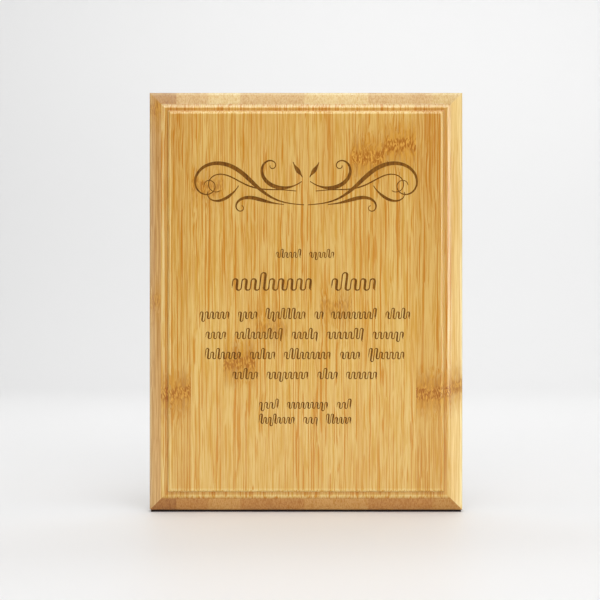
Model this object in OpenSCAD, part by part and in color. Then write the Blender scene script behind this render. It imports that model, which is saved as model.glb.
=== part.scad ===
// Laminated bamboo award plaque: four glued layers of flat strips, a moulded edge on all four
// sides, and a flush steel keyhole hanger on the back.
// The origin is at the middle of the base, +Z is up, and the front faces -Y.

/* [Board] */
// Width of the board
board_w = 228.6; // [150:0.1:280]
// Height of the board
board_h = 304.8; // [200:0.1:400]
// Thickness of the core layers together
core_t = 14; // [12:0.5:20]
// Thickness of the face layer and of the back layer
skin_t = 3; // [2.5:0.1:4]

/* [Bamboo strips] */
// Width of one bamboo strip
strip_w = 23.33; // [20:0.01:40]
// Narrowest strip that is left at an edge of a layer; a joint nearer to the edge is left out
least_strip_w = 5; // [1:0.5:8]
// First joint right of the middle, in the face layer
face_joint_x = 9.9; // [0:0.1:20]
// First joint right of the middle, in the front core layer
core_front_joint_x = 22.03; // [0:0.01:23.3]
// First joint right of the middle, in the rear core layer
core_rear_joint_x = 14.3; // [0:0.1:20]
// First joint right of the middle, in the back layer
back_joint_x = 11; // [0:0.1:20]

/* [Moulded edge] */
// Width of the moulding, from the outer edge to the flat field
mould_w = 15.4; // [13:0.1:20]
// Depth of the moulding, from the field to the top of the outer wall
mould_depth = 8; // [7:0.1:9.5]
// Depth of the step from the field to the ledge
step_depth = 2.4; // [2.1:0.1:2.8]
// Radius of the rounded edge of the field
field_round_r = 1.5; // [0.5:0.1:1.5]
// Radius of the hollow at the foot of the step
step_hollow_r = 0.5; // [0.2:0.1:0.8]
// Width of the flat ledge between the step and the ovolo
ledge_w = 2.6; // [1.5:0.1:4]
// Slope of the ovolo where it leaves the ledge, in degrees
ovolo_start_deg = 10; // [4:1:14]
// Radius that rounds the rim, where the ovolo meets the outer wall
rim_r = 2; // [1:0.1:2.5]
// Radius of the eased edge at the back
back_round_r = 0.6; // [0.3:0.1:2]

/* [Hanger] */
// Distance from the board's top edge down to the hanger plate's middle
hanger_drop = 48.8; // [35:0.1:150]
// Length of the hanger plate
plate_l = 44; // [42:1:60]
// Width of the hanger plate
plate_w = 16; // [14:0.5:20]
// Thickness of the hanger plate
plate_t = 1.5; // [1:0.1:2]
// Gap between the plate's edge and its pocket
plate_gap = 0.15; // [0.05:0.05:0.4]
// Radius of the keyhole's round entry
entry_r = 4.75; // [4:0.25:5.5]
// Width of the keyhole's slot
slot_w = 5; // [4:0.5:6]
// Distance from the entry's centre to the slot's end centre
slot_l = 11; // [8:0.5:12]
// Depth of the pocket for the wall screw's head, from the back
head_pocket_depth = 7; // [5:0.5:8]
// Gap around the wall screw's head, in the pocket
head_gap = 0.75; // [0.25:0.25:1]

/* [Hanger screws] */
// Distance from each hanger screw to the plate's end
screw_inset = 4.6; // [4.5:0.1:6]
// Radius of a hanger screw's head
screw_head_r = 2.9; // [2.5:0.1:3.2]
// Radius of a hanger screw's shank
screw_shank_r = 1.4; // [1:0.1:1.8]
// Length of a hanger screw
screw_l = 9; // [6:0.5:10]
// Gap between the shank and its hole, in the plate and in the wood
screw_gap = 0.05; // [0.05:0.05:0.2]
// Length of a screw's pointed tip
screw_tip_l = 2.5; // [1:0.5:3]
// Width of a bar of the cross recess in a screw's head
recess_w = 0.8; // [0.5:0.1:1]
// Length of a bar of the cross recess
recess_l = 3.2; // [2:0.1:3.6]
// Depth of the cross recess
recess_depth = 0.8; // [0.5:0.1:1]

/* [Hidden] */
$fn = 96;
// Overhang that carries a cutting solid past the surface it cuts
over = 1;
board_t = core_t + 2 * skin_t;
front_y = -board_t / 2;
back_y = board_t / 2;

// Each layer: name, distance of its back face from the board's back, thickness, first joint, colour
LAYERS = [
    ["face", board_t - skin_t, skin_t, face_joint_x, "goldenrod"],
    ["core_front", board_t / 2, core_t / 2, core_front_joint_x, "peru"],
    ["core_rear", skin_t, core_t / 2, core_rear_joint_x, "burlywood"],
    ["back", 0, skin_t, back_joint_x, "sandybrown"],
];

// Moulding, in a section where u runs inwards from the outer wall and h forwards from the back
wall_h = board_t - mould_depth;
ledge_h = board_t - step_depth;
step_u = mould_w - field_round_r;
crest_u = step_u - ledge_w;
// The ovolo is one arc that leaves the crest at its own slope and runs into the rim's arc
ovolo_run = crest_u - rim_r;
ovolo_drop = ledge_h - wall_h;
ovolo_r = (pow(ovolo_run, 2) + pow(ovolo_drop, 2) - pow(rim_r, 2))
    / (2 * (ovolo_drop * cos(ovolo_start_deg) - ovolo_run * sin(ovolo_start_deg) - rim_r));
ovolo_centre = [crest_u + ovolo_r * sin(ovolo_start_deg),
                ledge_h - ovolo_r * cos(ovolo_start_deg)];
rim_end_u = rim_r * (1 - (ovolo_centre[0] - rim_r) / (ovolo_r - rim_r));
// Distance from the outer wall at which the moulding has a height, on the ovolo or below it
function moulding_u(h) =
    h <= wall_h ? 0 : ovolo_centre[0] - sqrt(pow(ovolo_r, 2) - pow(h - ovolo_centre[1], 2));
// Facets of the ovolo's circle as drawn, enough for a smooth curve of its large radius
ovolo_fn = 720;

// Joints of a layer from left to right, with the board's two sides as the first and last
function joint_lines(layer) =
    let (reach = board_w / 2 - moulding_u(layer[1]) - least_strip_w,
         lowest = ceil((-reach - layer[3]) / strip_w),
         highest = floor((reach - layer[3]) / strip_w))
    concat([-board_w / 2],
           [for (k = [lowest : highest]) layer[3] + k * strip_w],
           [board_w / 2]);
function strip_count(layer) = len(joint_lines(layer)) - 1;
function strip_name(layer, i) = str(layer[0], "_strip_", i + 1);

// Keyhole: the entry is below the middle of the plate and the slot runs up from it
hanger_z = board_h - hanger_drop;
entry_z = hanger_z - slot_l / 2;
slot_end_z = hanger_z + slot_l / 2;
screw_offset = plate_l / 2 - screw_inset;
head_height = screw_head_r - screw_shank_r;

// Waste of the section above a height, between two places across the moulding
module waste(u_from, u_to, h_from) {
    translate([u_from, h_from]) square([u_to - u_from, board_t - h_from + over]);
}

// All that the cutter takes off one edge of the section
module edge_waste() {
    difference() {
        waste(-over, rim_end_u, wall_h);
        translate([rim_r, wall_h]) circle(rim_r);
    }
    difference() {
        waste(rim_end_u, crest_u, wall_h);
        translate(ovolo_centre) circle(ovolo_r, $fn = ovolo_fn);
    }
    difference() {
        waste(crest_u, step_u, ledge_h);
        difference() {
            translate([step_u - step_hollow_r, ledge_h]) square(step_hollow_r);
            translate([step_u - step_hollow_r, ledge_h + step_hollow_r]) circle(step_hollow_r);
        }
    }
    difference() {
        waste(step_u - over, mould_w, board_t - field_round_r);
        translate([mould_w, board_t - field_round_r]) circle(field_round_r);
    }
    difference() {
        translate([-over, -over]) square(back_round_r + over);
        translate([back_round_r, back_round_r]) circle(back_round_r);
    }
}

// Section across the board with both its edges moulded, front towards -Y
module moulded_section(width) {
    difference() {
        translate([-width / 2, front_y]) square([width, board_t]);
        for (side = [0, 1]) mirror([side, 0])
            translate([-width / 2, back_y]) mirror([0, 1]) edge_waste();
    }
}

// The whole board as the cutter leaves it: one section drawn up it and one drawn across it
module moulded_board() {
    intersection() {
        linear_extrude(board_h) moulded_section(board_w);
        translate([0, 0, board_h / 2]) rotate([0, -90, 0])
            linear_extrude(board_w + 2 * over, center = true) moulded_section(board_h);
    }
}

// Slot with round ends that runs up between two heights, cut forwards from a distance off the back
module slot_prism(radius, z_low, z_high, from_back, depth) {
    translate([0, back_y - from_back, 0]) rotate([90, 0, 0]) linear_extrude(depth) {
        for (z = [z_low, z_high]) translate([0, z]) circle(radius);
        translate([-radius, z_low]) square([2 * radius, z_high - z_low]);
    }
}

// Round hole or shank on a hanger screw's axis
module screw_bore(radius, from_back, depth) {
    translate([0, back_y - from_back, 0]) rotate([90, 0, 0]) cylinder(r = radius, h = depth);
}

// What is cut out of the back for the hanger
module hanger_pocket() {
    plate_end = plate_l / 2 - plate_w / 2;
    slot_prism(plate_w / 2 + plate_gap, hanger_z - plate_end, hanger_z + plate_end,
               -over, plate_t + over);
    slot_prism(entry_r + head_gap, entry_z, slot_end_z, -over, head_pocket_depth + over);
    for (side = [-1, 1]) translate([0, 0, hanger_z + side * screw_offset])
        screw_bore(screw_shank_r + screw_gap, 0, screw_l + screw_gap);
}

// Strip number i of a layer, as it lies in the finished board
module bamboo_strip(layer, i) {
    lines = joint_lines(layer);
    color(layer[4]) difference() {
        intersection() {
            translate([lines[i], back_y - layer[1] - layer[2], 0])
                cube([lines[i + 1] - lines[i], layer[2], board_h]);
            moulded_board();
        }
        hanger_pocket();
    }
}

module hanger_plate() {
    plate_end = plate_l / 2 - plate_w / 2;
    color("silver") difference() {
        slot_prism(plate_w / 2, hanger_z - plate_end, hanger_z + plate_end, 0, plate_t);
        translate([0, 0, entry_z]) screw_bore(entry_r, -over, plate_t + 2 * over);
        slot_prism(slot_w / 2, entry_z, slot_end_z, -over, plate_t + 2 * over);
        for (side = [-1, 1]) translate([0, 0, hanger_z + side * screw_offset]) {
            screw_bore(screw_shank_r + screw_gap, -over, plate_t + 2 * over);
            screw_head();
        }
    }
}

// Countersunk head, flush with the back
module screw_head() {
    translate([0, back_y, 0]) rotate([90, 0, 0])
        cylinder(r1 = screw_head_r, r2 = screw_shank_r, h = head_height);
}

module hanger_screw() {
    shank_l = screw_l - head_height - screw_tip_l;
    difference() {
        union() {
            screw_head();
            screw_bore(screw_shank_r, head_height, shank_l);
            translate([0, back_y - head_height - shank_l, 0]) rotate([90, 0, 0])
                cylinder(r1 = screw_shank_r, r2 = 0, h = screw_tip_l);
        }
        for (turn = [0, 90]) rotate([0, turn, 0])
            translate([-recess_l / 2, back_y - recess_depth, -recess_w / 2])
                cube([recess_l, recess_depth + over, recess_w]);
    }
}

module hanger_screws() {
    color("dimgray") for (side = [-1, 1])
        translate([0, 0, hanger_z + side * screw_offset]) hanger_screw();
}

for (layer = LAYERS) for (i = [0 : strip_count(layer) - 1])
    bamboo_strip(layer, i);
hanger_plate();
hanger_screws();
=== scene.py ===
"""Looks for an upright award plaque of laminated bamboo strips with a moulded edge.

Everything is built in metres in the row frame: the front faces -Y, +Z is up and +X is to the
right. The sizes in this file are in millimetres, unless a comment says that they are in metres,
and are turned into metres where they are used.
"""

import math

import bmesh
import bpy
import numpy as np
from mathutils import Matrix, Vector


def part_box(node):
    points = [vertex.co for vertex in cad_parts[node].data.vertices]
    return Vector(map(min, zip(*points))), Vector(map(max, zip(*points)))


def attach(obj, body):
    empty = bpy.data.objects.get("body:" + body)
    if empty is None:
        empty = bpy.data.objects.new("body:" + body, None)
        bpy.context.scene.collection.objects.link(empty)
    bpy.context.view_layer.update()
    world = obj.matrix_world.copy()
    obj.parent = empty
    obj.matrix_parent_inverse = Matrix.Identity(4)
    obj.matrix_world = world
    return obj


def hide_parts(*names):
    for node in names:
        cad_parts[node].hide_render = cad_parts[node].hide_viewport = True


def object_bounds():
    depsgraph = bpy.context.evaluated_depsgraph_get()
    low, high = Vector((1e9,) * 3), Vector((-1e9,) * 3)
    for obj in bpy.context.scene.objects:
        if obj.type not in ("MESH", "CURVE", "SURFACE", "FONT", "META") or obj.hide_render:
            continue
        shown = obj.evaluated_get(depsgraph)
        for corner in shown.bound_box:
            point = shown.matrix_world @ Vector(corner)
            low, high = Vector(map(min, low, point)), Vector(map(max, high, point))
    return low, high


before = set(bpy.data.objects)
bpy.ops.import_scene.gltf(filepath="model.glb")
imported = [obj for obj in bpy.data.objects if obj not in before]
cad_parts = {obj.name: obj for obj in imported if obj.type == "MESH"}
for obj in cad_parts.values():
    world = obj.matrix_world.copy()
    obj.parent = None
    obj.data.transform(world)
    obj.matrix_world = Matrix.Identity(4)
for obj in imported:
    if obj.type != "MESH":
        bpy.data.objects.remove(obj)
CAD_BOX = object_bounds()
MM = 0.001

# ---------------------------------------------------------------- sizes of the board, in mm

BOARD_W = (CAD_BOX[1][0] - CAD_BOX[0][0]) / MM
BOARD_H = (CAD_BOX[1][2] - CAD_BOX[0][2]) / MM
BOARD_T = (CAD_BOX[1][1] - CAD_BOX[0][1]) / MM
BACK_Y = CAD_BOX[1][1] / MM
FRONT_Y = CAD_BOX[0][1] / MM

# The moulded edge, as the CAD part has it
MOULD_W = 15.4
MOULD_DEPTH = 8.0
STEP_DEPTH = 2.4
FIELD_ROUND_R = 1.5
STEP_HOLLOW_R = 0.5
LEDGE_W = 2.6
OVOLO_START = math.radians(10)
RIM_R = 2.0
BACK_ROUND_R = 0.6

WALL_H = BOARD_T - MOULD_DEPTH
LEDGE_H = BOARD_T - STEP_DEPTH
STEP_U = MOULD_W - FIELD_ROUND_R
CREST_U = STEP_U - LEDGE_W


def ovolo_arc():
    """Radius and centre of the ovolo: the arc that leaves the crest at its own slope and runs
    into the rim's arc, with u inwards from the outer wall and h forwards from the back."""
    run = CREST_U - RIM_R
    drop = LEDGE_H - WALL_H
    radius = (run**2 + drop**2 - RIM_R**2) / (
        2 * (drop * math.cos(OVOLO_START) - run * math.sin(OVOLO_START) - RIM_R)
    )
    centre = (
        CREST_U + radius * math.sin(OVOLO_START),
        LEDGE_H - radius * math.cos(OVOLO_START),
    )
    return radius, centre


OVOLO_R, OVOLO_CENTRE = ovolo_arc()
RIM_CENTRE = (RIM_R, WALL_H)
HOLLOW_CENTRE = (STEP_U - STEP_HOLLOW_R, LEDGE_H + STEP_HOLLOW_R)
# The field's edge is eased a little wider than it is deep: an ellipse, not the CAD's circle
FIELD_EASE_W = 2.3
FIELD_ROUND_CENTRE = (STEP_U + FIELD_EASE_W, BOARD_T - FIELD_ROUND_R)
BACK_ROUND_CENTRE = (BACK_ROUND_R, BACK_ROUND_R)
RIM_END = math.asin((OVOLO_CENTRE[0] - RIM_R) / (OVOLO_R - RIM_R))
# Points on each arc of the section
BACK_POINTS, RIM_POINTS, OVOLO_POINTS, HOLLOW_POINTS, FIELD_POINTS = 6, 12, 24, 7, 20


def arc_points(centre, radius, start, end, count):
    """Points on a circle, from one tilt to another. Tilt is 0 where the arc's outward normal
    points forwards and 90 degrees where it points out of the side."""
    tilt = np.linspace(start, end, count)
    return np.stack([centre[0] - radius * np.sin(tilt), centre[1] + radius * np.cos(tilt)], 1)


def moulding_profile():
    """The edge's section from the back to the field: back arris, wall, rim, ovolo, ledge,
    hollow, step and rounded edge of the field, as (u, h) points."""
    right = math.pi / 2
    back = arc_points(BACK_ROUND_CENTRE, BACK_ROUND_R, math.pi, right, BACK_POINTS)
    rim = arc_points(RIM_CENTRE, RIM_R, right, RIM_END, RIM_POINTS)
    ovolo = arc_points(OVOLO_CENTRE, OVOLO_R, RIM_END, OVOLO_START, OVOLO_POINTS)[1:]
    hollow = arc_points(HOLLOW_CENTRE, -STEP_HOLLOW_R, 0, right, HOLLOW_POINTS)
    field = arc_points(FIELD_ROUND_CENTRE, FIELD_ROUND_R, right, 0, FIELD_POINTS)
    field[:, 0] = STEP_U + (field[:, 0] - STEP_U - FIELD_EASE_W) * (
        FIELD_EASE_W / FIELD_ROUND_R) + FIELD_EASE_W
    return np.concatenate([back, rim, ovolo, hollow, field])


# ---------------------------------------------------------------- meshes

# Distances in metres: how near to a cut a point counts as lying on it, how near two points fall
# together after a cut, and the same after the engraving
CUT_REACH, CUT_WELD, ENGRAVE_WELD = 1e-8, 1e-7, 2e-6
# The shortest length to divide by
LEAST_LENGTH = 1e-9
# How far a face may lean and still count as flat, and how far past the field's edge, in mm, a
# face may lie and still count as part of it
FLAT_LEAN, EDGE_REACH = 1e-3, 0.01


def mesh_object(name, vertices, faces, materials=()):
    """A mesh object at the origin from arrays of vertices, in metres, and faces."""
    mesh = bpy.data.meshes.new(name)
    mesh.from_pydata(vertices.tolist(), [], faces)
    mesh.validate()
    for material in materials:
        mesh.materials.append(material)
    piece = bpy.data.objects.new(name, mesh)
    bpy.context.scene.collection.objects.link(piece)
    return piece


def tube_faces(count):
    """Faces of a four-cornered tube with this many rings of points, closed at both ends."""
    ring = np.arange(4)
    rows = np.arange(count - 1)[:, None] * 4
    quads = np.stack([rows + ring, rows + (ring + 1) % 4,
                      rows + 4 + (ring + 1) % 4, rows + 4 + ring], 2).reshape(-1, 4)
    last = (count - 1) * 4
    return quads.tolist() + [[3, 2, 1, 0], [last, last + 1, last + 2, last + 3]]


def board_shell():
    """The whole moulded board as one closed surface: the profile carried round the board's
    outline, so that each of its points is a rectangle set in by u at the height h."""
    profile = moulding_profile()
    inset, height = profile[:, 0], profile[:, 1]
    x = np.stack([-1, 1, 1, -1] * (BOARD_W / 2 - inset)[:, None], 0)
    low, high = inset, BOARD_H - inset
    z = np.stack([low, low, high, high], 1)
    y = np.repeat((BACK_Y - height)[:, None], 4, 1)
    return np.stack([x, y, z], 2).reshape(-1, 3) * MM, tube_faces(len(profile))


def cut_to_box(piece, low, high):
    """Cuts a closed mesh to a box and closes each cut with a flat face."""
    work = bmesh.new()
    work.from_mesh(piece.data)
    for axis in range(3):
        for corner, sign in ((low, -1), (high, 1)):
            normal = [0, 0, 0]
            normal[axis] = sign
            geometry = work.verts[:] + work.edges[:] + work.faces[:]
            cut = bmesh.ops.bisect_plane(work, geom=geometry, dist=CUT_REACH,
                                         plane_co=corner, plane_no=normal, clear_outer=True)
            edges = [e for e in cut["geom_cut"] if isinstance(e, bmesh.types.BMEdge)]
            if edges:
                bmesh.ops.holes_fill(work, edges=edges, sides=0)
    bmesh.ops.remove_doubles(work, verts=work.verts[:], dist=CUT_WELD)
    bmesh.ops.recalc_face_normals(work, faces=work.faces[:])
    work.to_mesh(piece.data)
    work.free()


def read_values(items, name, width=1, kind=float):
    """One property of every item of a mesh, as an array with a row for each."""
    values = np.zeros(len(items) * width, kind)
    items.foreach_get(name, values)
    return values.reshape(-1, width) if width > 1 else values


def set_moulding_normals(piece):
    """Gives each corner on a rounded part of the moulding the true normal of its arc: the
    direction from the arc's centre, in the section through the nearest edge of the board."""
    mesh = piece.data
    mesh.polygons.foreach_set("use_smooth", np.ones(len(mesh.polygons), bool))
    counts = read_values(mesh.polygons, "loop_total", kind=np.int64)
    corners = read_values(mesh.loops, "vertex_index", kind=np.int64)
    places = read_values(mesh.vertices, "co", 3) / MM
    centres = read_values(mesh.polygons, "center", 3) / MM
    flat = read_values(mesh.polygons, "normal", 3)
    across = np.abs(flat[:, 0]) > np.abs(flat[:, 2])
    axis = np.where(across, 0, 2)
    side = np.sign(np.take_along_axis(flat, axis[:, None], 1)[:, 0])
    middle = np.where(across, 0, BOARD_H / 2)
    half = np.where(across, BOARD_W / 2, BOARD_H / 2)

    def section(points, faces):
        along = np.take_along_axis(points, axis[faces][:, None], 1)[:, 0] - middle[faces]
        return half[faces] - side[faces] * along, BACK_Y - points[:, 1]

    every = np.arange(len(flat))
    u, h = section(centres, every)
    other = np.take_along_axis(flat, (2 - axis)[:, None], 1)[:, 0]
    sloped = ((np.abs(flat[:, 1]) > FLAT_LEAN) & (side != 0) & (np.abs(other) < FLAT_LEAN)
              & (u < FIELD_ROUND_CENTRE[0] + EDGE_REACH))
    rim_inner = RIM_R * (1 - math.sin(RIM_END))
    arcs = (
        (BACK_ROUND_CENTRE, 1, h < BACK_ROUND_R),
        (RIM_CENTRE, 1, (h > WALL_H) & (u < rim_inner)),
        (OVOLO_CENTRE, 1, (h > WALL_H) & (h < LEDGE_H) & (u < CREST_U) & (u > rim_inner)),
        (HOLLOW_CENTRE, -1, (u > HOLLOW_CENTRE[0]) & (u < STEP_U) & (h < HOLLOW_CENTRE[1])),
        (FIELD_ROUND_CENTRE, 1, (u > STEP_U) & (h > FIELD_ROUND_CENTRE[1])),
    )
    faces = np.repeat(every, counts)
    corner_u, corner_h = section(places[corners], faces)
    normals = flat[faces]
    for centre, way, inside in arcs:
        chosen = (sloped & inside)[faces]
        squash = (FIELD_ROUND_R / FIELD_EASE_W) ** 2 if centre == FIELD_ROUND_CENTRE else 1
        out = way * (centre[0] - corner_u[chosen]) * squash
        forward = way * (corner_h[chosen] - centre[1])
        length = np.maximum(np.hypot(out, forward), LEAST_LENGTH)
        rounded = np.zeros((chosen.sum(), 3))
        rounded[np.arange(len(rounded)), axis[faces][chosen]] = side[faces][chosen] * out / length
        rounded[:, 1] = -forward / length
        normals[chosen] = rounded
    mesh.normals_split_custom_set(normals.tolist())
    mesh.update()


# ---------------------------------------------------------------- engraving

# Depth of the grooves, and how far their cutter stands out of the front
ENGRAVE_DEPTH = 0.4
ENGRAVE_LIFT = 0.2
# How much narrower a groove is at its floor on each side, in mm, and the least that is left of
# its half width there
GROOVE_DRAFT = 0.10
NARROWEST_FLOOR = 0.5
# Stems of the small lines: width of a pair of them over their height, slant, points on each
# half circle that joins them, and distance between the points of a stroke
LETTER_PITCH = 0.78
SLANT = 0.12
POINTS_PER_BOW = 11
STROKE_STEP = 0.42
# Taller stems and stems that reach below the line: how far, over the x-height, and how often
TALL_STEM, TALL_SHARE = 1.55, 0.18
DEEP_STEM, DEEP_SHARE = 0.4, 0.1
# How a pen swells going down: gain, threshold and power; over how many points that is evened
# out; and how many points the drawn-out ends take and how narrow they get
SWELL_GAIN, SWELL_START, SWELL_POWER = 1.25, 0.1, 1.5
SWELL_SPAN = 5
TAPER_POINTS, TAPER_END = 5, 0.45


def groove_solid(points, widths):
    """Vertices and faces of a cutter along a pen stroke: a four-cornered section carried along
    the stroke's points, as wide as the pen at the top and a little narrower at the floor."""
    step = np.gradient(points, axis=0)
    step /= np.maximum(np.linalg.norm(step, axis=1), LEAST_LENGTH)[:, None]
    normal = np.stack([-step[:, 1], step[:, 0]], 1)
    half_top = (widths / 2)[:, None]
    half_floor = np.maximum(half_top - GROOVE_DRAFT, half_top * NARROWEST_FLOOR)
    edges = [points + normal * half_top, points - normal * half_top,
             points - normal * half_floor, points + normal * half_floor]
    depths = [FRONT_Y - ENGRAVE_LIFT] * 2 + [FRONT_Y + ENGRAVE_DEPTH] * 2
    rings = np.stack([np.stack([e[:, 0], np.full(len(e), d), e[:, 1]], 1)
                      for e, d in zip(edges, depths)], 1)
    return rings.reshape(-1, 3) * MM, tube_faces(len(points))


def evened_out(values, span):
    """The average of each value and its neighbours, over an odd span of values."""
    return np.convolve(np.pad(values, span // 2, mode="edge"), np.ones(span) / span, mode="valid")


def pen_widths(points, hairline, stem):
    """A pen's width along a stroke: a hairline going up or sideways, swelling to a stem going
    down, and drawn out to a point at both ends."""
    step = np.gradient(points, axis=0)
    down = -step[:, 1] / np.maximum(np.linalg.norm(step, axis=1), LEAST_LENGTH)
    swell = np.clip(down * SWELL_GAIN - SWELL_START, 0, 1) ** SWELL_POWER
    swell = evened_out(swell, SWELL_SPAN)
    place = np.linspace(0, 1, len(points))
    taper = np.clip(np.minimum(place, 1 - place) * len(points) / TAPER_POINTS, TAPER_END, 1)
    return (hairline + (stem - hairline) * swell) * taper


def word_stroke(x_start, baseline, width, x_height, draw):
    """One word's worth of ornament: upright stems joined by half circles over and under them,
    two stems to a letter's width, with a slight slant. Now and then a pair of stems is drawn
    taller, or reaches below the line."""
    letters = max(1, round(width / (x_height * LETTER_PITCH)))
    bow = width / letters / 4
    rise = x_height * draw.choice((1.0, TALL_STEM), letters, p=(1 - TALL_SHARE, TALL_SHARE))
    sink = x_height * draw.choice((0.0, DEEP_STEM), letters, p=(1 - DEEP_SHARE, DEEP_SHARE))
    sweep = np.linspace(0, math.pi, POINTS_PER_BOW)
    x, z = [], []
    for i, (top, foot) in enumerate(zip(rise, sink)):
        centre = (4 * i + 1) * bow
        x += [centre - bow * np.cos(sweep), centre + 2 * bow - bow * np.cos(sweep)]
        z += [top - bow + bow * np.sin(sweep), bow - foot - bow * np.sin(sweep)]
    path = np.stack([np.concatenate(x), np.concatenate(z)], 1)[:-POINTS_PER_BOW // 2]
    path = np.concatenate([[(0.0, bow)], path])
    spaced = evenly_spaced(path, STROKE_STEP)
    return spaced + np.stack([x_start + SLANT * spaced[:, 1], np.full(len(spaced), baseline)], 1)


def evenly_spaced(path, step):
    """The same path with its points an even distance apart."""
    lengths = np.linalg.norm(np.diff(path, axis=0), axis=1)
    along = np.concatenate([[0], np.cumsum(lengths)])
    places = np.linspace(0, along[-1], max(4, round(along[-1] / step)))
    return np.stack([np.interp(places, along, path[:, axis]) for axis in (0, 1)], 1)


# Lines of ornament: baseline above the base, half width, x-height, and the words' lengths,
# which are made up and counted in pairs of stems
LINES = (
    (184.2, 22.0, 3.9, (5, 5)),
    (160.5, 54.0, 8.2, (7, 4)),
    (139.8, 77.3, 4.9, (6, 4, 8, 2, 9, 5)),
    (125.2, 73.0, 4.9, (4, 9, 5, 7, 6)),
    (110.6, 73.5, 4.9, (7, 5, 9, 4, 7)),
    (96.1, 53.5, 4.9, (5, 8, 4, 6)),
    (74.6, 34.3, 4.4, (4, 8, 3)),
    (63.7, 34.3, 4.4, (7, 3, 5)),
)
WORD_GAP = 1.1
# How much of its room a word takes; a stem's width as a share of the x-height plus a constant
# in mm; and a hairline's share of a stem
WORD_FILL = 0.96
STEM_SHARE, STEM_LEAST = 0.17, 0.4
HAIRLINE_SHARE = 0.5
# Seed of the draws of taller and deeper stems
STEM_SEED = 7


def line_strokes():
    """All the small lines: (points, widths) of each word."""
    draw = np.random.default_rng(STEM_SEED)
    strokes = []
    for baseline, half, x_height, words in LINES:
        total = sum(words) + WORD_GAP * (len(words) - 1)
        unit = 2 * half / total
        x = -half
        for letters in words:
            points = word_stroke(x, baseline, letters * unit * WORD_FILL, x_height, draw)
            stem = x_height * STEM_SHARE + STEM_LEAST
            strokes.append((points, pen_widths(points, stem * HAIRLINE_SHARE, stem)))
            x += (letters + WORD_GAP) * unit
    return strokes


# The scroll: height of its middle, points in a stroke, points over which the bends are evened
# out, and the power by which its pen swells
SCROLL_Z = 236.0
SCROLL_POINTS = 120
BEND_SPAN = 9
SCROLL_SWELL_POWER = 2.5
# The scroll's right half: start point from its middle, heading in degrees, length, bends along
# it (turn in radians per mm), narrowest and widest pen, and where along it the pen is widest
SCROLL = (
    # long S from the middle's foot, out and over, into the end volute
    ((1.5, -13.5), 4, 131, (0.0, 0.030, 0.012, -0.028, -0.05, -0.085, -0.15, -0.30),
     0.7, 3.2, 0.4),
    # inner C scroll: from the middle, down and round
    ((3.0, 3.5), -35, 60, (0.03, 0.05, 0.06, 0.10, 0.2, 0.6), 0.7, 3.0, 0.35),
    # hairline swash: out along the S, looping inside the end volute
    ((7.0, -3.5), 6, 82, (0.0, -0.012, 0.02, 0.03, -0.01, -0.09, -0.17, -0.2), 0.7, 1.1, 0.45),
    # tail that branches outwards below
    ((16.0, -13.2), 4, 50, (0.012, 0.02, 0.0, -0.05, -0.12, -0.30, -0.6), 0.7, 2.8, 0.4),
    # leaf beside the middle, pointing up
    ((2.6, 6.5), 62, 13, (-0.06, 0.02, 0.06), 0.7, 3.2, 0.45),
    # curl that fills the space under the end volute
    ((49.0, 0.5), -62, 31, (0.06, 0.03, 0.06, 0.13, 0.3), 0.7, 2.2, 0.4),
)


def bent_path(start, heading_deg, length, bends, count):
    """A path whose bend passes evenly through the given values along its length: the heading
    is the sum of the bend, and the points are the sum of the heading's steps."""
    place = np.linspace(0, 1, count)
    bend = np.interp(place, np.linspace(0, 1, len(bends)), bends)
    bend = evened_out(bend, BEND_SPAN)
    step = length / (count - 1)
    turn = np.concatenate([[0], np.cumsum((bend[1:] + bend[:-1]) / 2 * step)])
    heading = math.radians(heading_deg) + (turn[1:] + turn[:-1]) / 2
    x = np.concatenate([[0], np.cumsum(np.cos(heading) * step)])
    z = np.concatenate([[0], np.cumsum(np.sin(heading) * step)])
    return np.stack([start[0] + x, start[1] + z], 1)


def swelling(count, narrow, wide, peak):
    """A pen's width that swells from narrow to wide and back, widest at the peak."""
    place = np.linspace(0, 1, count)
    share = np.where(place < peak, place / peak, (1 - place) / (1 - peak))
    return narrow + (wide - narrow) * np.sin(share * math.pi / 2) ** SCROLL_SWELL_POWER


def scroll_strokes():
    """The large ornament at the top: a calligrapher's scroll and its mirror image."""
    strokes = []
    for start, heading, length, bends, narrow, wide, peak in SCROLL:
        path = bent_path(start, heading, length, bends, SCROLL_POINTS)
        widths = swelling(SCROLL_POINTS, narrow, wide, peak)
        strokes += [(path * (side, 1) + (0, SCROLL_Z), widths) for side in (1, -1)]
    return strokes


def engraving_cutter(strokes, low_x, high_x, material):
    """One cutter mesh of all strokes that reach between two places across the board, or None."""
    vertices, faces, count = [], [], 0
    for points, widths in strokes:
        reach = widths.max()
        if points[:, 0].max() + reach < low_x or points[:, 0].min() - reach > high_x:
            continue
        v, f = groove_solid(points, widths)
        vertices.append(v)
        faces += [[i + count for i in face] for face in f]
        count += len(v)
    if not faces:
        return None
    return mesh_object("engraving_cutter", np.concatenate(vertices), faces, [material])


def clean_triangles(mesh):
    """Joins points that fall together, drops slivers and splits every face into triangles."""
    work = bmesh.new()
    work.from_mesh(mesh)
    bmesh.ops.remove_doubles(work, verts=work.verts[:], dist=ENGRAVE_WELD)
    bmesh.ops.dissolve_degenerate(work, edges=work.edges[:], dist=ENGRAVE_WELD)
    bmesh.ops.triangulate(work, faces=work.faces[:], ngon_method="BEAUTY")
    work.to_mesh(mesh)
    work.free()


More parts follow.
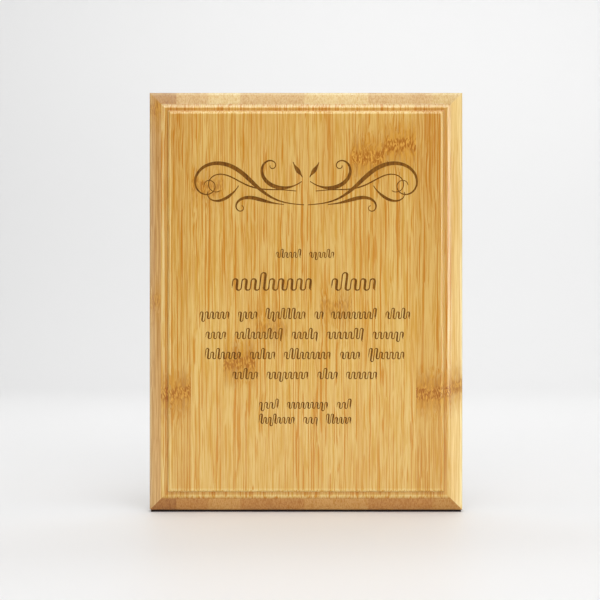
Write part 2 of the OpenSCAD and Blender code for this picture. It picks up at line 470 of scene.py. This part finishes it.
def engrave(piece, cutter):
    """Cuts the strokes into a strip and keeps the result as the strip's own mesh."""
    cut = piece.modifiers.new("engraving", "BOOLEAN")
    cut.operation = "DIFFERENCE"
    cut.solver = "EXACT"
    cut.use_self = True
    cut.material_mode = "TRANSFER"
    cut.object = cutter
    graph = bpy.context.evaluated_depsgraph_get()
    mesh = bpy.data.meshes.new_from_object(piece.evaluated_get(graph), depsgraph=graph)
    piece.modifiers.clear()
    clean_triangles(mesh)
    old = piece.data
    piece.data = mesh
    bpy.data.meshes.remove(old)
    bpy.data.objects.remove(cutter)


# ---------------------------------------------------------------- materials


class Nodes:
    """Short calls for building one material's node tree."""

    def __init__(self, name):
        self.material = bpy.data.materials.new(name)
        self.material.use_nodes = True
        self.tree = self.material.node_tree
        self.shader = self.tree.nodes["Principled BSDF"]

    def add(self, kind, inputs=(), **settings):
        node = self.tree.nodes.new(kind)
        for key, value in settings.items():
            setattr(node, key, value)
        for key, value in dict(inputs).items():
            self.feed(node.inputs[key], value)
        return node

    def feed(self, socket, value):
        if isinstance(value, bpy.types.NodeSocket):
            self.tree.links.new(value, socket)
        else:
            socket.default_value = value

    def math(self, operation, a, b=0.0, c=0.0):
        return self.add("ShaderNodeMath", {0: a, 1: b, 2: c}, operation=operation).outputs[0]

    def noise(self, vector, scale, detail, roughness=0.5):
        node = self.add("ShaderNodeTexNoise", {"Vector": vector, "Scale": scale,
                                               "Detail": detail, "Roughness": roughness})
        return node.outputs["Fac"]

    def spread(self, value, low, high):
        """0 at low, 1 at high, smooth between and clamped."""
        node = self.add("ShaderNodeMapRange",
                        {"Value": value, "From Min": low, "From Max": high},
                        interpolation_type="SMOOTHSTEP")
        return node.outputs["Result"]

    def pattern(self, vector, pattern):
        """Drawn-out noise: its scale along X, Y and Z, and then detail and roughness."""
        return self.noise(self.stretched(vector, pattern[0]), 1.0, *pattern[1:])

    def swing(self, vector, pattern):
        """The same noise, moved so that it swings about 0."""
        return self.math("SUBTRACT", self.pattern(vector, pattern), 0.5)

    def mix(self, share, a, b, blend="MIX"):
        node = self.add("ShaderNodeMix", data_type="RGBA", blend_type=blend)
        self.feed(node.inputs[0], share)
        self.feed(node.inputs[6], a)
        self.feed(node.inputs[7], b)
        return node.outputs[2]

    def stretched(self, vector, scale, offset=(0, 0, 0)):
        node = self.add("ShaderNodeMapping", {"Vector": vector, "Scale": scale,
                        "Location": offset})
        return node.outputs["Vector"]

    def surface(self, values):
        """Sets or links sockets of the surface shader itself."""
        for key, value in values.items():
            self.feed(self.shader.inputs[key], value)

    def relief(self, height, strength, depth):
        """Puts a bump of a depth in metres on the surface."""
        bump = self.add("ShaderNodeBump", {"Height": height, "Strength": strength,
                                           "Distance": depth})
        self.surface({"Normal": bump.outputs[0]})


def colour(red, green, blue):
    """A colour given as it looks on a screen, 0 to 255, as the shader wants it."""
    def linear(c):
        c /= 255
        return c / 12.92 if c <= 0.04045 else ((c + 0.055) / 1.055) ** 2.4
    return (linear(red), linear(green), linear(blue), 1.0)


# Tones of bamboo: light fibres, deeper fibres and the darkest streaks
HONEY = (colour(206, 170, 98), colour(191, 142, 54), colour(181, 115, 18))
AMBER = (colour(200, 161, 88), colour(185, 133, 46), colour(175, 109, 14))
PALE = (colour(234, 207, 148), colour(220, 184, 112), colour(206, 156, 74))
STRAW = (colour(226, 196, 132), colour(209, 170, 96), colour(196, 144, 62))
TAN = (colour(222, 186, 124), colour(206, 162, 92), colour(190, 136, 62))
BROWN = (colour(201, 159, 98), colour(180, 133, 72), colour(156, 104, 44))

# Noise patterns of the wood: scale per metre along X, Y and Z, detail, and roughness
FINE_FIBRES = ((1300, 1300, 28), 3.0, 0.65)
MEDIUM_FIBRES = ((520, 520, 14), 2.0, 0.6)
BROAD_TONES = ((90, 90, 7), 2.0)
DRAWN_LINES = ((1000, 1000, 7), 2.0)
FLECKS = ((1300, 1300, 260), 2.0)
SLOW_WANDER = ((110, 110, 24), 1.0)
QUICK_WANDER = ((200, 200, 90), 1.0)
KNUCKLE_BOW = ((60, 60, 8), 1.0)
KNUCKLE_RAG = ((800, 800, 130), 2.0)
# How far a strip's seed moves its patterns along X, Y and Z
SEED_STEP = (0.713, 0.291, 0.517)

# How the patterns become tone. A range is the noise at which a mask is empty and full, and a
# share is how strongly the mask then works
FIBRE_RANGE = (0.38, 0.58)
FINE_SHARE, MEDIUM_SHARE = 0.7, 0.3
BROAD_RANGE, BROAD_SHARE = (0.48, 0.74), 0.25
LINE_RANGE, LINE_SHARE = (0.55, 0.60), 0.85
AMBER_RANGE, DASH_RANGE = (0.35, 0.65), (0.38, 0.57)
KNUCKLE_AMBER = (colour(196, 140, 44), colour(162, 100, 4))
KNUCKLE_DASHES = (colour(206, 152, 58), colour(154, 88, 2))
HALO_SHARE, BAND_SHARE = 0.85, 0.95
# In metres: how far a knuckle's edge wanders, where its band and its halo are empty and full,
# and how far the fibres wander sideways everywhere and round a knuckle
KNUCKLE_SHIFT = 0.010
BAND_REACH, HALO_REACH = (0.0062, 0.0030), (0.024, 0.003)
FIBRE_DRIFT, KNUCKLE_SWIRL = 0.0022, 0.0055

# The tints below are painted. They were tuned for the front view in soft light, and say nothing
# of how the wood or its lacquer differs from place to place: the ledge's and the slopes' tints
# are painted shade, and the gain on the rim, the crest and the field's edge is a painted
# highlight. In other light they look slightly too bright or too dark.
# How much paler a strip gets towards the foot, and between which heights in metres
FOOT_GAIN = (1.12, 1.17, 1.27, 1.0)
FOOT_RANGE = (0.27, 0.06)
# Painted shade on the ledge, and a painted highlight on the rim, the crest and the field's edge
LEDGE_SHADE = (0.95, 0.86, 0.74, 1.0)
PAINTED_HIGHLIGHT_GAIN = (1.11, 1.24, 1.52, 1.0)
# Where those bands run, in mm inwards from the outline, and how softly they end
LEDGE_BAND = (CREST_U + 0.5, STEP_U)
RIM_BAND = (-1.0, 1.8)
CREST_BAND = (CREST_U - 2.3, CREST_U + 0.1)
FIELD_EDGE_BAND = (STEP_U + 0.2, STEP_U + 2.4)
BAND_SOFT = 0.35
# In mm: how far behind the rim the bands are empty and full, and how far above the base
WALL_RANGE, BASE_RANGE = (3, 1), (1, 5)
# Painted shade on the slopes where the moulding cuts across the fibres, at the top and, deeper,
# at the foot, and between which heights in metres the one turns into the other
TOP_SLOPE_SHADE = colour(223, 220, 211)
FOOT_SLOPE_SHADE = colour(206, 174, 132)
SLOPE_SHADE_RANGE = (0.2, 0.1)
# How far out on the slope that tint is full, as a share of the crest's distance, and half the
# width in mm over which it ends at a mitre
CUT_FULL, MITRE_SOFT = 0.7, 0.1

# The surface: only the lacquer shines. The wood's own gloss is nearly off, which keeps glare
# off the field
WOOD_ROUGHNESS, WOOD_SPECULAR = 0.45, 0.08
LACQUER_WEIGHT, LACQUER_ROUGHNESS = 1.0, 0.16
# Strength of the grain's relief, how much of it goes on the tinted bands, and its depth in metres
RELIEF, RELIEF_LOSS, RELIEF_DEPTH = 0.25, 0.2, 0.00004


def knuckle_marks(n, local, height, knuckles):
    """Two masks across a strip from its knuckles' heights: a narrow band with a ragged, bowed
    edge, and a wide soft halo round it."""
    ragged = n.math("MULTIPLY", n.swing(local, KNUCKLE_RAG), KNUCKLE_SHIFT)
    shift = n.math("MULTIPLY_ADD", n.swing(local, KNUCKLE_BOW), KNUCKLE_SHIFT, ragged)
    wavy = n.math("ADD", height, shift)
    band, halo = 0.0, 0.0
    for i, (knuckle_z, strength) in enumerate(knuckles):
        apart = n.math("ABSOLUTE", n.math("SUBTRACT", wavy, knuckle_z * MM))
        core = n.math("MULTIPLY", n.spread(apart, *BAND_REACH), strength)
        soft = n.math("MULTIPLY", n.spread(apart, *HALO_REACH), strength)
        band = n.math("MAXIMUM", band, core) if i else core
        halo = n.math("MAXIMUM", halo, soft) if i else soft
    return band, halo


def edge_distances(n, axes):
    """How far in from the nearer end and from the nearer side of the board a place is."""
    from_middle = n.math("ABSOLUTE", n.math("SUBTRACT", axes["Z"], BOARD_H / 2 * MM))
    from_end = n.math("SUBTRACT", BOARD_H / 2 * MM, from_middle)
    from_side = n.math("SUBTRACT", BOARD_W / 2 * MM, n.math("ABSOLUTE", axes["X"]))
    return from_end, from_side


def edge_bands(n, axes, inset):
    """Two masks along the moulding: the ledge, which gets painted shade, and the rim, the crest
    and the field's edge, which get a painted highlight. The rim's band leaves out the base."""
    def band(low, high):
        rise = n.spread(inset, (low - BAND_SOFT) * MM, (low + BAND_SOFT) * MM)
        fall = n.spread(inset, (high + BAND_SOFT) * MM, (high - BAND_SOFT) * MM)
        return n.math("MULTIPLY", rise, fall)

    rim_y = BACK_Y - WALL_H
    front = n.spread(axes["Y"], (rim_y + WALL_RANGE[0]) * MM, (rim_y + WALL_RANGE[1]) * MM)
    off_base = n.spread(axes["Z"], BASE_RANGE[0] * MM, BASE_RANGE[1] * MM)
    rim = n.math("MULTIPLY", band(*RIM_BAND), off_base)
    highlight_mask = n.math("MAXIMUM", rim, n.math("MAXIMUM", band(*CREST_BAND), band(*FIELD_EDGE_BAND)))
    return n.math("MULTIPLY", band(*LEDGE_BAND), front), n.math("MULTIPLY", highlight_mask, front)


def cut_across(n, axes, from_end, from_side):
    """How far the moulding has cut a strip across its grain: 1 on the slopes along the top and
    the bottom edges, up to the mitres, and 0 on the field, along the sides and on the back."""
    slope = n.spread(from_end, CREST_U * MM, CUT_FULL * CREST_U * MM)
    mitred = n.spread(n.math("SUBTRACT", from_side, from_end), -MITRE_SOFT * MM,
                      MITRE_SOFT * MM)
    off_back = n.spread(axes["Y"], BACK_Y * MM, (BACK_Y - BACK_ROUND_R) * MM)
    return n.math("MULTIPLY", n.math("MULTIPLY", slope, mitred), off_back)


def bamboo(name, seed, light, deep, streak, knuckles=(), streaks=1.0):
    """Flat-pressed bamboo, its grain up the board. The fibre pattern is noise drawn out along
    Z in three widths, pushed sideways near each knuckle, which is (height in mm, strength)."""
    n = Nodes(name)
    place = n.add("ShaderNodeTexCoord").outputs["Object"]
    local = n.stretched(place, (1, 1, 1), tuple(seed * step for step in SEED_STEP))
    axes = n.add("ShaderNodeSeparateXYZ", {0: place}).outputs
    height = axes["Z"]
    band, halo = knuckle_marks(n, local, height, knuckles)

    swirl = n.math("MULTIPLY", n.swing(local, QUICK_WANDER), halo)
    push = n.math("MULTIPLY_ADD", n.swing(local, SLOW_WANDER), FIBRE_DRIFT,
                  n.math("MULTIPLY", swirl, KNUCKLE_SWIRL))
    moved = n.add("ShaderNodeCombineXYZ", {0: push, 1: push}).outputs[0]
    grain = n.add("ShaderNodeVectorMath", {0: local, 1: moved}, operation="ADD").outputs[0]
    fine = n.pattern(grain, FINE_FIBRES)
    medium = n.pattern(grain, MEDIUM_FIBRES)
    broad = n.pattern(grain, BROAD_TONES)
    lines = n.pattern(grain, DRAWN_LINES)
    flecks = n.pattern(grain, FLECKS)

    tone = n.math("MULTIPLY_ADD", fine, FINE_SHARE, n.math("MULTIPLY", medium, MEDIUM_SHARE))
    base = n.mix(n.spread(tone, *FIBRE_RANGE), deep, light)
    base = n.mix(n.math("MULTIPLY", n.spread(broad, *BROAD_RANGE), BROAD_SHARE), base, streak)
    drawn = n.math("MULTIPLY", n.spread(lines, *LINE_RANGE), LINE_SHARE * streaks)
    base = n.mix(drawn, base, streak)
    base = n.mix(n.spread(height, *FOOT_RANGE), base, FOOT_GAIN, "MULTIPLY")

    amber = n.mix(n.spread(medium, *AMBER_RANGE), *KNUCKLE_AMBER)
    base = n.mix(n.math("MULTIPLY", halo, HALO_SHARE), base, amber)
    dashes = n.mix(n.spread(flecks, *DASH_RANGE), *KNUCKLE_DASHES)
    base = n.mix(n.math("MULTIPLY", band, BAND_SHARE), base, dashes)

    from_end, from_side = edge_distances(n, axes)
    cut = cut_across(n, axes, from_end, from_side)
    # Painted shade on the slopes along the top and, deeper, along the foot
    slope_shade = n.mix(n.spread(height, *SLOPE_SHADE_RANGE), TOP_SLOPE_SHADE, FOOT_SLOPE_SHADE)
    base = n.mix(cut, base, slope_shade, "MULTIPLY")
    # Painted shade on the ledge, and a painted highlight on the rim, the crest and the field's
    # edge
    ledge, highlight_mask = edge_bands(n, axes, n.math("MINIMUM", from_end, from_side))
    base = n.mix(ledge, base, LEDGE_SHADE, "MULTIPLY")
    base = n.mix(highlight_mask, base, PAINTED_HIGHLIGHT_GAIN, "MULTIPLY")

    n.surface({"Base Color": base, "Roughness": WOOD_ROUGHNESS,
               "Specular IOR Level": WOOD_SPECULAR, "Coat Weight": LACQUER_WEIGHT,
               "Coat Roughness": LACQUER_ROUGHNESS})
    n.relief(fine, n.math("MULTIPLY_ADD", n.math("MAXIMUM", cut, highlight_mask), -RELIEF_LOSS, RELIEF),
             RELIEF_DEPTH)
    return n.material


# The engraving's scorched wood: fibre lines that show through, and soot
BURNT_FIBRES = ((1400, 1400, 30), 3.0)
SOOT_SCALE, SOOT_DETAIL = 500.0, 2.0
BURNT_SHARES = (0.7, 0.3)
BURNT_RANGE = (0.35, 0.65)
BURNT_TONES = (colour(94, 54, 2), colour(134, 86, 14))
BURNT_ROUGHNESS, BURNT_SPECULAR = 0.75, 0.2
# Strength of the relief, and its depth in metres
BURNT_RELIEF = (0.4, 0.0001)


def burnt_bamboo():
    """The floor and walls of the engraved grooves: scorched brown, with the fibre lines showing
    through as darker and lighter ridges."""
    n = Nodes("burnt_bamboo")
    place = n.add("ShaderNodeTexCoord").outputs["Object"]
    fibre = n.pattern(place, BURNT_FIBRES)
    soot = n.noise(place, SOOT_SCALE, SOOT_DETAIL)
    tone = n.math("ADD", n.math("MULTIPLY", fibre, BURNT_SHARES[0]),
                  n.math("MULTIPLY", soot, BURNT_SHARES[1]))
    n.surface({"Base Color": n.mix(n.spread(tone, *BURNT_RANGE), *BURNT_TONES),
               "Roughness": BURNT_ROUGHNESS, "Specular IOR Level": BURNT_SPECULAR})
    n.relief(fibre, *BURNT_RELIEF)
    return n.material


# Rolled steel: fine lines along Z, a mottled plating, how much the mottling darkens and dulls
# it, and the relief's strength and its depth in metres
ROLLING_LINES = ((3500, 3500, 60), 2.0)
MOTTLE_SCALE, MOTTLE_DETAIL = 260.0, 3.0
MOTTLE_RANGE = (0.35, 0.7)
MOTTLE_SHADE, MOTTLE_DULLING = 0.8, 0.18
ROLLED_RELIEF = (0.15, 0.00003)


def plated_steel(name, base, roughness):
    """Zinc-plated steel: fine rolling lines along Z and a mottled, slightly dulled plating."""
    n = Nodes(name)
    place = n.add("ShaderNodeTexCoord").outputs["Object"]
    lines = n.pattern(place, ROLLING_LINES)
    mottle = n.noise(place, MOTTLE_SCALE, MOTTLE_DETAIL)
    darker = tuple(MOTTLE_SHADE * c for c in base[:3]) + (1.0,)
    n.surface({"Base Color": n.mix(n.spread(mottle, *MOTTLE_RANGE), base, darker),
               "Roughness": n.math("MULTIPLY_ADD", mottle, MOTTLE_DULLING, roughness),
               "Metallic": 1.0})
    n.relief(lines, *ROLLED_RELIEF)
    return n.material


# ---------------------------------------------------------------- pieces

# Knuckles of the face strips from left to right: (height in mm, strength)
FACE_KNUCKLES = (
    ((86, 0.9),), ((238, 0.5),), ((108, 0.8),), ((132, 0.35),), (),
    ((148, 0.4),), ((258, 0.95),), ((266, 0.95),), ((86, 1.0),),
)
# Face strips of a deeper tone
DEEPER_STRIPS = (0, 8)
# Front core strips from left to right: tone, and knuckles. They have weaker streaks
CORE_STREAKS = 0.6
CORE_STRIPS = (
    (BROWN, ((152, 0.4), (292, 0.5))), (TAN, ()), (PALE, ()), (TAN, ()), (TAN, ()),
    (PALE, ()), (PALE, ()), (TAN, ()), (TAN, ()), (STRAW, ((89, 0.7),)),
)
# Seed of each layer's first strip, so that no two strips have the same pattern
FACE_SEED, CORE_FRONT_SEED, CORE_REAR_SEED, BACK_SEED = 1, 20, 40, 60
# Every so many strips, a rear core strip is brown and a back strip has no knuckle
BROWN_EVERY, PLAIN_EVERY = 3, 4
# The back's made-up knuckles and tones: seed of the draws, range of heights in mm, range of
# strengths, tones, and how often each tone comes
BACK_DRAW_SEED = 19
BACK_KNUCKLE_Z, BACK_KNUCKLE_STRENGTH = (20, 285), (0.35, 0.9)
BACK_TONES, BACK_SHARES = (HONEY, AMBER, PALE), (0.6, 0.2, 0.2)
# Base colour and roughness of the plate and the screws
PLATE_STEEL = ((0.72, 0.72, 0.70, 1.0), 0.26)
SCREW_STEEL = ((0.66, 0.66, 0.64, 1.0), 0.34)


def layer_strips(layer):
    """Names of a layer's strips from left to right."""
    names = [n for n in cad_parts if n.startswith(layer + "_strip_")]
    return sorted(names, key=lambda n: int(n.rsplit("_", 1)[1]))


def dress(node, material):
    """Puts a material on a CAD node in place of its own."""
    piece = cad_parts[node]
    piece.data.materials.clear()
    piece.data.materials.append(material)


def moulded_strip(node, material):
    """A strip with the moulding's true curves, cut from the whole board to the strip's box."""
    vertices, faces = board_shell()
    piece = mesh_object(node + "_shaped", vertices, faces, [material])
    low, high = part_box(node)
    cut_to_box(piece, low, high)
    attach(piece, "root")
    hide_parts(node)
    return piece


def build_face():
    """The face strips, engraved."""
    burnt = burnt_bamboo()
    strokes = scroll_strokes() + line_strokes()
    for i, node in enumerate(layer_strips("face")):
        tones = AMBER if i in DEEPER_STRIPS else HONEY
        material = bamboo(node + "_bamboo", FACE_SEED + i, *tones, FACE_KNUCKLES[i])
        piece = moulded_strip(node, material)
        low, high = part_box(node)
        cutter = engraving_cutter(strokes, low[0] / MM, high[0] / MM, burnt)
        if cutter:
            engrave(piece, cutter)
        set_moulding_normals(piece)


def build_cores():
    """The front core strips, which show in the moulding, and the plain strips behind them."""
    for i, node in enumerate(layer_strips("core_front")):
        tones, knuckles = CORE_STRIPS[i]
        material = bamboo(node + "_bamboo", CORE_FRONT_SEED + i, *tones, knuckles, CORE_STREAKS)
        piece = moulded_strip(node, material)
        set_moulding_normals(piece)
    for i, node in enumerate(layer_strips("core_rear")):
        tones = PALE if i % BROWN_EVERY else BROWN
        dress(node, bamboo(node + "_bamboo", CORE_REAR_SEED + i, *tones))


def build_back():
    """The back strips, with irregular knuckles and tones."""
    draw = np.random.default_rng(BACK_DRAW_SEED)
    for i, node in enumerate(layer_strips("back")):
        knuckle = (draw.uniform(*BACK_KNUCKLE_Z), draw.uniform(*BACK_KNUCKLE_STRENGTH))
        tones = BACK_TONES[draw.choice(len(BACK_TONES), p=BACK_SHARES)]
        knuckles = (knuckle,) if i % PLAIN_EVERY else ()
        dress(node, bamboo(node + "_bamboo", BACK_SEED + i, *tones, knuckles))


def build_hanger():
    """The hanger plate and its screws, in plated steel."""
    dress("hanger_plate", plated_steel("hanger_plate_steel", *PLATE_STEEL))
    dress("hanger_screws", plated_steel("hanger_screw_steel", *SCREW_STEEL))


# ---------------------------------------------------------------- studio, all in metres

# The floor: its near end, where it starts to bend up, the bend's radius and points, the top of
# the backdrop, half its width, and its grey
FLOOR_NEAR, FLOOR_FAR, FLOOR_BEND, BEND_POINTS = -14.0, 1.6, 0.9, 24
BACKDROP_TOP, FLOOR_HALF = 4.0, 14.0
FLOOR_GREY, FLOOR_ROUGHNESS = (0.76, 0.76, 0.76, 1.0), 0.5

# A dark strip under the board, a painted shadow that stands in for the contact shadow where the
# plaque meets the floor: its thickness, how far it stays inside the sides, how far behind the rim
# its front lies, the gap over it, and its colour and roughness. The floor lies lower by its
# thickness.
SHADOW_STRIP_T = 0.0015
SHADOW_STRIP_INSET, SHADOW_STRIP_SETBACK, SHADOW_STRIP_GAP = 0.001, 0.0002, 0.00002
SHADOW_STRIP_DARK, SHADOW_STRIP_ROUGHNESS = (0.012, 0.006, 0.003, 1.0), 0.95

# Soft boxes: name, place, the point it faces, width, height and radiance
LOW_MIDDLE = (0, 0, 0.15)
SOFT_BOXES = (
    ("top_light", (0.1, -1.75, 1.2), LOW_MIDDLE, 1.2, 0.7, 5.0),
    ("high_light", (0.2, -0.9, 1.75), LOW_MIDDLE, 1.6, 1.0, 2.2),
    ("right_light", (0.92, -1.75, 0.32), (0, 0, 0.32), 0.6, 0.6, 7.2),
    ("right_rim_light", (1.5, -0.5, 0.3), LOW_MIDDLE, 0.7, 0.9, 0.8),
    ("left_light", (-0.92, -1.75, 0.32), (0, 0, 0.32), 0.5, 0.6, 1.8),
    ("left_rim_light", (-1.6, -0.8, 0.3), LOW_MIDDLE, 0.5, 0.9, 1.0),
    ("overhead_light", (0.0, -0.3, 2.2), (0.0, -0.29, 0), 2.6, 1.1, 1.9),
    ("backdrop_light", (0.25, 1.1, 1.6), (0.05, 2.1, -0.5), 3.0, 1.0, 2.8),
)
WORLD_STRENGTH = 0.2

# The camera: lens and sensor in mm, width of the view at its target, and the target, measured
# from the board's middle
LENS, SENSOR_W = 100.0, 36.0
VIEW_WIDTH = 0.4388
TARGET_X, TARGET_Y, TARGET_RISE = -0.0044, -0.002, 0.00095


def build_stage():
    """A pale floor that sweeps up behind the plaque: a line, an arc and a line drawn across."""
    angle = np.linspace(0, math.pi / 2, BEND_POINTS)
    y = np.concatenate([[FLOOR_NEAR], FLOOR_FAR + FLOOR_BEND * np.sin(angle),
                        [FLOOR_FAR + FLOOR_BEND]])
    z = np.concatenate([[0.0], FLOOR_BEND * (1 - np.cos(angle)), [BACKDROP_TOP]]) - SHADOW_STRIP_T
    count = len(y)
    left, right = [np.stack([np.full(count, x), y, z], 1) for x in (-FLOOR_HALF, FLOOR_HALF)]
    i = np.arange(count - 1)
    faces = np.stack([i, i + count, i + count + 1, i + 1], 1).tolist()
    n = Nodes("studio_floor")
    n.surface({"Base Color": FLOOR_GREY, "Roughness": FLOOR_ROUGHNESS})
    floor = mesh_object("studio_floor", np.concatenate([left, right]), faces, [n.material])
    floor.data.polygons.foreach_set("use_smooth", np.ones(count - 1, bool))


def build_contact_shadow_strip():
    """A thin dark strip under the base, a box a little inside its outline: a painted shadow that
    makes the dark line where the plaque meets the floor."""
    half = BOARD_W / 2 * MM - SHADOW_STRIP_INSET
    front = (BACK_Y - WALL_H) * MM + SHADOW_STRIP_SETBACK
    back = (BACK_Y - BACK_ROUND_R) * MM
    corners = np.array([(x, y, z) for z in (-SHADOW_STRIP_T, -SHADOW_STRIP_GAP) for y in (front, back)
                        for x in (-half, half)])
    faces = [(0, 2, 3, 1), (4, 5, 7, 6), (0, 1, 5, 4), (1, 3, 7, 5), (3, 2, 6, 7), (2, 0, 4, 6)]
    n = Nodes("contact_shadow_dark")
    n.surface({"Base Color": SHADOW_STRIP_DARK, "Roughness": SHADOW_STRIP_ROUGHNESS})
    mesh_object("contact_shadow_strip", corners, faces, [n.material])


def soft_light(name, place, target, width, height, radiance):
    """A soft box of a width and height at a place, turned to face a target. Its power is the
    radiance of its face times pi times its area."""
    data = bpy.data.lights.new(name, "AREA")
    data.shape = "RECTANGLE"
    data.size = width
    data.size_y = height
    data.energy = radiance * math.pi * width * height
    lamp = bpy.data.objects.new(name, data)
    bpy.context.scene.collection.objects.link(lamp)
    lamp.location = place
    way = np.array(target) - np.array(place)
    lamp.rotation_euler = (math.atan2(math.hypot(way[0], way[1]), -way[2]), 0,
                           math.atan2(way[1], way[0]) - math.pi / 2)
    lamp.visible_camera = False


def build_lights():
    """Soft boxes above and to each side of the camera, so that the moulding's slopes catch
    them and the flat field doesn't, and a large one overhead for the floor."""
    for soft_box in SOFT_BOXES:
        soft_light(*soft_box)
    world = bpy.data.worlds.new("studio")
    world.use_nodes = True
    background = world.node_tree.nodes["Background"].inputs
    background["Color"].default_value = (1.0, 1.0, 1.0, 1.0)
    background["Strength"].default_value = WORLD_STRENGTH
    bpy.context.scene.world = world


def build_camera():
    """Level with the plaque's middle and straight in front of it."""
    data = bpy.data.cameras.new("camera")
    data.sensor_width = SENSOR_W
    data.lens = LENS
    distance = VIEW_WIDTH * LENS / SENSOR_W
    camera = bpy.data.objects.new("camera", data)
    bpy.context.scene.collection.objects.link(camera)
    camera.location = (TARGET_X, TARGET_Y - distance, BOARD_H / 2 * MM + TARGET_RISE)
    camera.rotation_euler = (math.pi / 2, 0, 0)
    bpy.context.scene.camera = camera


build_camera()
build_stage()
build_contact_shadow_strip()
build_lights()
build_face()
build_cores()
build_back()
build_hanger()
bpy.context.scene.view_settings.view_transform = "Standard"
